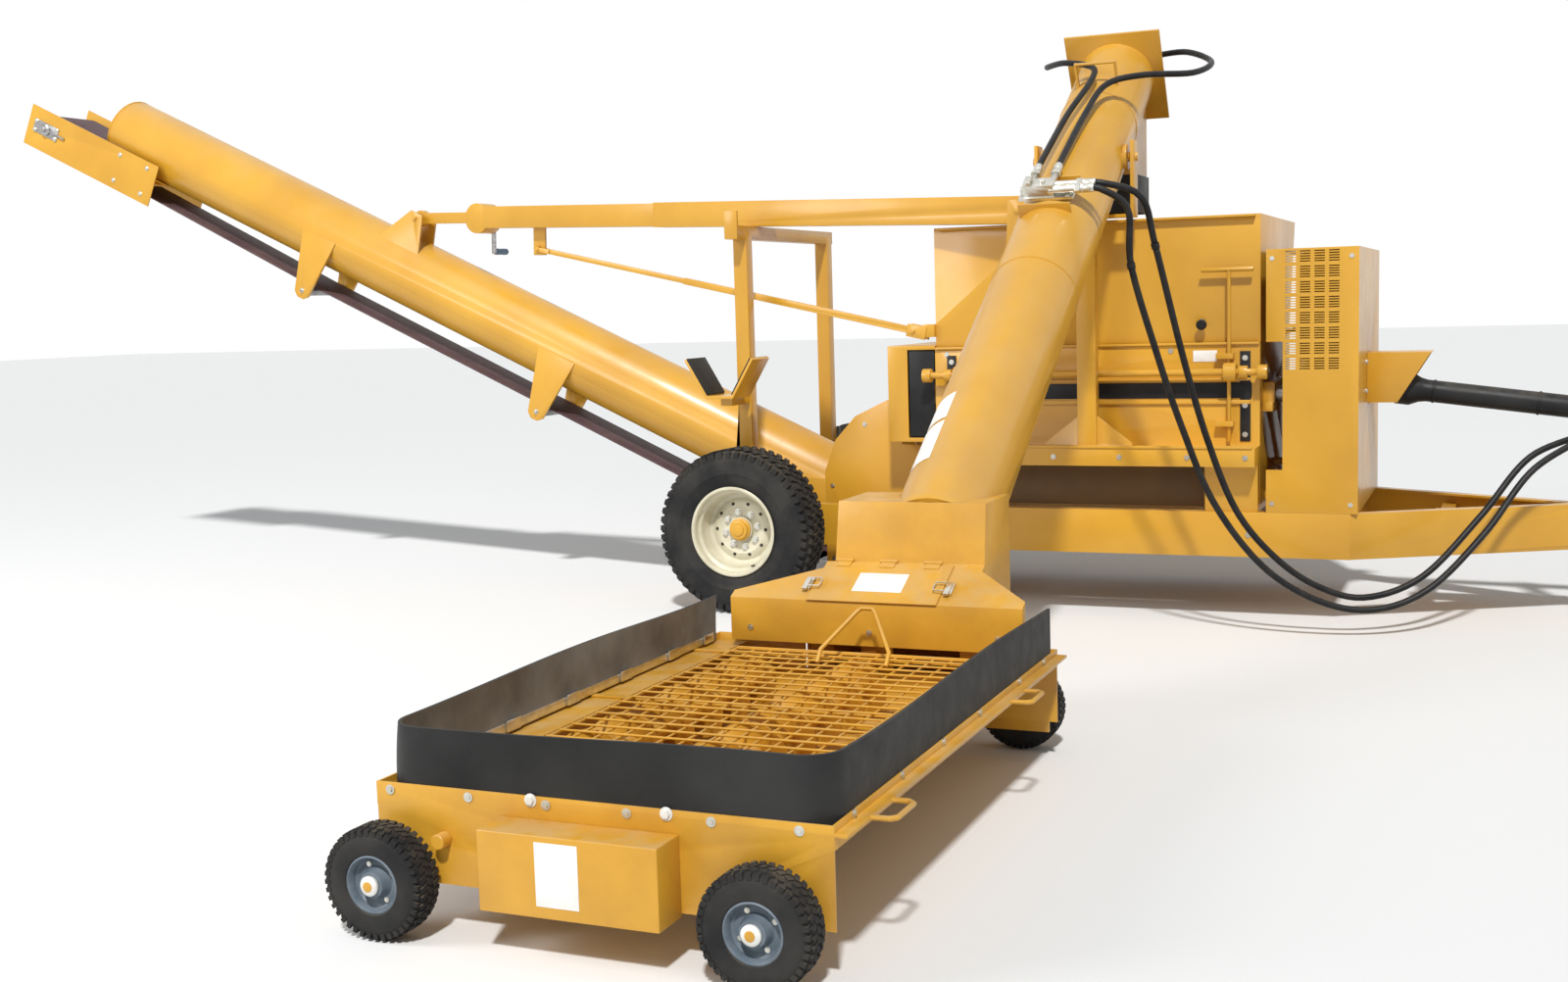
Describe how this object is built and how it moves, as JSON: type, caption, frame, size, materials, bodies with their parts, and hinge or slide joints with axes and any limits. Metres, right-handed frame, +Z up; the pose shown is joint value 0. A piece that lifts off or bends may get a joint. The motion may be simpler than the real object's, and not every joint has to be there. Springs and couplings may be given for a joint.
{
  "type": "towed grain roller mill",
  "caption": "Towed grain roller mill with a swinging intake auger on a low wheeled hopper, a two-roll mill on a two-wheel frame and a raised tube belt conveyor.",
  "frame": {"origin": "centre of the footprint on the ground, under everything the machine stands on", "axes": "+X towards the tow hitch, +Y away from the intake hopper (the machine's left side), +Z up"},
  "size_m": [9.7696, 6.0676, 2.8281],
  "materials": {
    "yellow_paint": "gloss",
    "cream_paint": "satin",
    "tyre_rubber": "matte",
    "steel": "satin",
    "black_plastic": "satin",
    "belt_rubber": "matte",
    "black_rubber": "matte",
    "zinc": "satin"
  },
  "bodies": {
    "root": {"main_frame": "yellow_paint", "axle_beam": "yellow_paint", "mill_body": "yellow_paint", "feed_hopper": "yellow_paint", "drive_shield": "yellow_paint", "pto_guard": "yellow_paint", "rear_cover": "yellow_paint", "tail_boot": "yellow_paint", "gantry": "yellow_paint", "swivel_post": "yellow_paint", "tractor_hose_left": "black_rubber", "tractor_hose_right": "black_rubber"},
    "wheel_right": {"rim_right": "cream_paint", "tyre_right": "tyre_rubber"},
    "wheel_left": {"rim_left": "cream_paint", "tyre_left": "tyre_rubber"},
    "jack": {"jack_leg": "steel"},
    "gate": {"feed_gate": "yellow_paint"},
    "fixed_roll_body": {"fixed_roll": "steel"},
    "carriage": {"carriage_rear": "yellow_paint", "carriage_front": "yellow_paint"},
    "moving_roll_body": {"moving_roll": "steel"},
    "adjuster": {"adjust_shaft": "yellow_paint"},
    "pto_rear": {"pto_outer_tube": "black_plastic"},
    "pto_front": {"pto_inner_tube": "black_plastic"},
    "pto_drive": {"pto_yoke": "steel"},
    "discharge_screw": {"discharge_auger": "yellow_paint"},
    "conveyor": {"conveyor_tube": "yellow_paint", "conveyor_belt": "belt_rubber"},
    "tail_drum": {"tail_pulley": "steel"},
    "head_drum": {"head_pulley": "steel"},
    "idler_lower": {"return_roller_lower": "steel"},
    "idler_upper": {"return_roller_upper": "steel"},
    "boom": {"boom_outer": "yellow_paint"},
    "boom_arm": {"boom_inner": "yellow_paint"},
    "crank": {"boom_crank": "steel"},
    "stay": {"stay_outer": "yellow_paint"},
    "stay_rod": {"stay_inner": "yellow_paint"},
    "swivel": {"swivel_head": "yellow_paint"},
    "auger": {"auger_tube": "yellow_paint", "spout_sleeve": "black_rubber", "hydraulic_motor": "zinc", "valve_block": "zinc", "intake_pan": "yellow_paint", "gear_cover": "yellow_paint", "skirt": "black_rubber", "hood": "yellow_paint", "motor_hose_left": "black_rubber", "motor_hose_right": "black_rubber", "tractor_hose_left_upper": "black_rubber", "tractor_hose_right_upper": "black_rubber"},
    "auger_screw": {"main_auger": "yellow_paint"},
    "feeder_left": {"hopper_auger_left": "yellow_paint"},
    "feeder_right": {"hopper_auger_right": "yellow_paint"},
    "grate_body": {"grate": "yellow_paint"},
    "lid": {"hood_lid": "yellow_paint"},
    "caster_front_left": {"small_wheel_front_left": "tyre_rubber"},
    "caster_front_right": {"small_wheel_front_right": "tyre_rubber"},
    "caster_rear_left": {"small_wheel_rear_left": "tyre_rubber"},
    "caster_rear_right": {"small_wheel_rear_right": "tyre_rubber"}
  },
  "joints": [
    {"name": "wheel_spin_right", "type": "hinge", "parent": "root", "child": "wheel_right", "pos_m": [0.20476, 1.22875, 0.395], "axis": [0, 1, 0], "continuous": true},
    {"name": "wheel_spin_left", "type": "hinge", "parent": "root", "child": "wheel_left", "pos_m": [0.20476, 2.90875, 0.395], "axis": [0, 1, 0], "continuous": true},
    {"name": "jack_slide", "type": "slide", "parent": "root", "child": "jack", "axis": [0, 0, 1], "range_m": [0, 0.25]},
    {"name": "feed_gate_slide", "type": "slide", "parent": "root", "child": "gate", "axis": [0, 0, 1], "range_m": [0, 0.1]},
    {"name": "roll_fixed_spin", "type": "hinge", "parent": "root", "child": "fixed_roll_body", "pos_m": [1.84476, 2.06875, 1], "axis": [1, 0, 0], "continuous": true},
    {"name": "roll_gap", "type": "slide", "parent": "root", "child": "carriage", "axis": [0, -1, 0], "range_m": [0, 0.012]},
    {"name": "roll_moving_spin", "type": "hinge", "parent": "carriage", "child": "moving_roll_body", "pos_m": [1.84476, 1.76095, 1], "axis": [1, 0, 0], "continuous": true},
    {"name": "adjust_turn", "type": "hinge", "parent": "root", "child": "adjuster", "pos_m": [1.84476, 1.50875, 1.11], "axis": [1, 0, 0], "range_deg": [0, 90]},
    {"name": "discharge_spin", "type": "hinge", "parent": "root", "child": "discharge_screw", "pos_m": [1.84476, 2.06875, 0.665], "axis": [1, 0, 0], "continuous": true},
    {"name": "pto_lift", "type": "hinge", "parent": "root", "child": "pto_rear", "pos_m": [3.12476, 2.06875, 1.00762], "axis": [0, -1, 0], "range_deg": [0, 20]},
    {"name": "pto_slide", "type": "slide", "parent": "pto_rear", "child": "pto_front", "axis": [0.9919, 0, -0.1271], "range_m": [-0.15, 0.2]},
    {"name": "pto_spin", "type": "hinge", "parent": "pto_front", "child": "pto_drive", "pos_m": [3.12476, 2.06875, 1.00762], "axis": [0.9919, 0, -0.1271], "continuous": true},
    {"name": "conveyor_tilt", "type": "hinge", "parent": "root", "child": "conveyor", "pos_m": [0.56476, 2.06875, 0.21], "axis": [0, 1, 0], "range_deg": [0, 7]},
    {"name": "tail_pulley_spin", "type": "hinge", "parent": "conveyor", "child": "tail_drum", "pos_m": [0.56476, 2.06875, 0.21], "axis": [0, 1, 0], "continuous": true},
    {"name": "head_pulley_spin", "type": "hinge", "parent": "conveyor", "child": "head_drum", "pos_m": [-4.69076, 2.06875, 2.66363], "axis": [0, 1, 0], "continuous": true},
    {"name": "return_spin_lower", "type": "hinge", "parent": "conveyor", "child": "idler_lower", "pos_m": [-1.31012, 2.06875, 0.92022], "axis": [0, 1, 0], "continuous": true},
    {"name": "return_spin_upper", "type": "hinge", "parent": "conveyor", "child": "idler_upper", "pos_m": [-2.84489, 2.06875, 1.62774], "axis": [0, 1, 0], "continuous": true},
    {"name": "boom_pivot", "type": "hinge", "parent": "root", "child": "boom", "pos_m": [1.54476, 1.50875, 1.86], "axis": [0.1365, 0.9906, 0], "range_deg": [0, 5.3]},
    {"name": "boom_slide", "type": "slide", "parent": "boom", "child": "boom_arm", "axis": [-0.9898, 0.1363, 0.0409], "range_m": [-0.21373, 0]},
    {"name": "boom_crank_turn", "type": "hinge", "parent": "boom_arm", "child": "crank", "pos_m": [-1.64228, 2.02375, 1.98712], "axis": [-0.1365, -0.9906, 0], "continuous": true},
    {"name": "stay_pivot", "type": "hinge", "parent": "root", "child": "stay", "pos_m": [0.98476, 1.58588, 1.32], "axis": [0.1365, 0.9906, 0], "range_deg": [0, 7.26]},
    {"name": "stay_slide", "type": "slide", "parent": "stay", "child": "stay_rod", "axis": [-0.9691, 0.1335, 0.2077], "range_m": [-0.14791, 0]},
    {"name": "auger_swing", "type": "hinge", "parent": "root", "child": "swivel", "pos_m": [1.84476, 1.44875, 1.722], "axis": [0, 0, 1], "range_deg": [-40, 30], "deforming": ["tractor_hose_left", "tractor_hose_right"]},
    {"name": "auger_tilt", "type": "hinge", "parent": "swivel", "child": "auger", "pos_m": [1.84476, 1.44875, 2.06703], "axis": [-1, 0, 0], "range_deg": [0, 8], "deforming": ["tractor_hose_left_upper", "tractor_hose_right_upper"]},
    {"name": "main_auger_spin", "type": "hinge", "parent": "auger", "child": "auger_screw", "pos_m": [1.84476, 1.44875, 2.06703], "axis": [0, -0.842, -0.5395], "continuous": true},
    {"name": "feeder_left_spin", "type": "hinge", "parent": "auger", "child": "feeder_left", "pos_m": [1.31476, -2.93125, 0.232], "axis": [0, 1, 0], "continuous": true},
    {"name": "feeder_right_spin", "type": "hinge", "parent": "auger", "child": "feeder_right", "pos_m": [1.69976, -2.93125, 0.232], "axis": [0, 1, 0], "continuous": true},
    {"name": "grate_lift", "type": "hinge", "parent": "auger", "child": "grate_body", "pos_m": [1.84476, -2.59125, 0.343], "axis": [1, 0, 0], "range_deg": [0, 75]},
    {"name": "lid_lift", "type": "hinge", "parent": "auger", "child": "lid", "pos_m": [1.84476, -0.90325, 0.6045], "axis": [-1, 0, 0], "range_deg": [0, 105]},
    {"name": "caster_spin_front_left", "type": "hinge", "parent": "auger", "child": "caster_front_left", "pos_m": [1.17476, -2.97625, 0.1375], "axis": [0, 1, 0], "continuous": true},
    {"name": "caster_spin_front_right", "type": "hinge", "parent": "auger", "child": "caster_front_right", "pos_m": [2.15476, -2.97625, 0.1375], "axis": [0, 1, 0], "continuous": true},
    {"name": "caster_spin_rear_left", "type": "hinge", "parent": "auger", "child": "caster_rear_left", "pos_m": [1.17476, -0.86125, 0.1375], "axis": [0, 1, 0], "continuous": true},
    {"name": "caster_spin_rear_right", "type": "hinge", "parent": "auger", "child": "caster_rear_right", "pos_m": [2.15476, -0.86125, 0.1375], "axis": [0, 1, 0], "continuous": true}
  ],
  "couplings": [
    {"joint": "roll_moving_spin", "follows": "roll_fixed_spin", "ratio": -1},
    {"joint": "discharge_spin", "follows": "roll_fixed_spin", "ratio": 0.5},
    {"joint": "pto_spin", "follows": "roll_fixed_spin", "ratio": 1},
    {"joint": "adjust_turn", "follows": "roll_gap", "rad_per_m": 130.9},
    {"joint": "head_pulley_spin", "follows": "tail_pulley_spin", "ratio": 1.25},
    {"joint": "return_spin_lower", "follows": "tail_pulley_spin", "ratio": -3.6},
    {"joint": "return_spin_upper", "follows": "tail_pulley_spin", "ratio": -3.6},
    {"joint": "boom_pivot", "follows": "conveyor_tilt", "ratio": 0.75747},
    {"joint": "boom_slide", "follows": "conveyor_tilt", "m_per_rad": -1.7494},
    {"joint": "stay_pivot", "follows": "conveyor_tilt", "ratio": 1.0366},
    {"joint": "stay_slide", "follows": "conveyor_tilt", "m_per_rad": -1.2107},
    {"joint": "feeder_left_spin", "follows": "main_auger_spin", "ratio": 1},
    {"joint": "feeder_right_spin", "follows": "main_auger_spin", "ratio": -1}
  ]
}
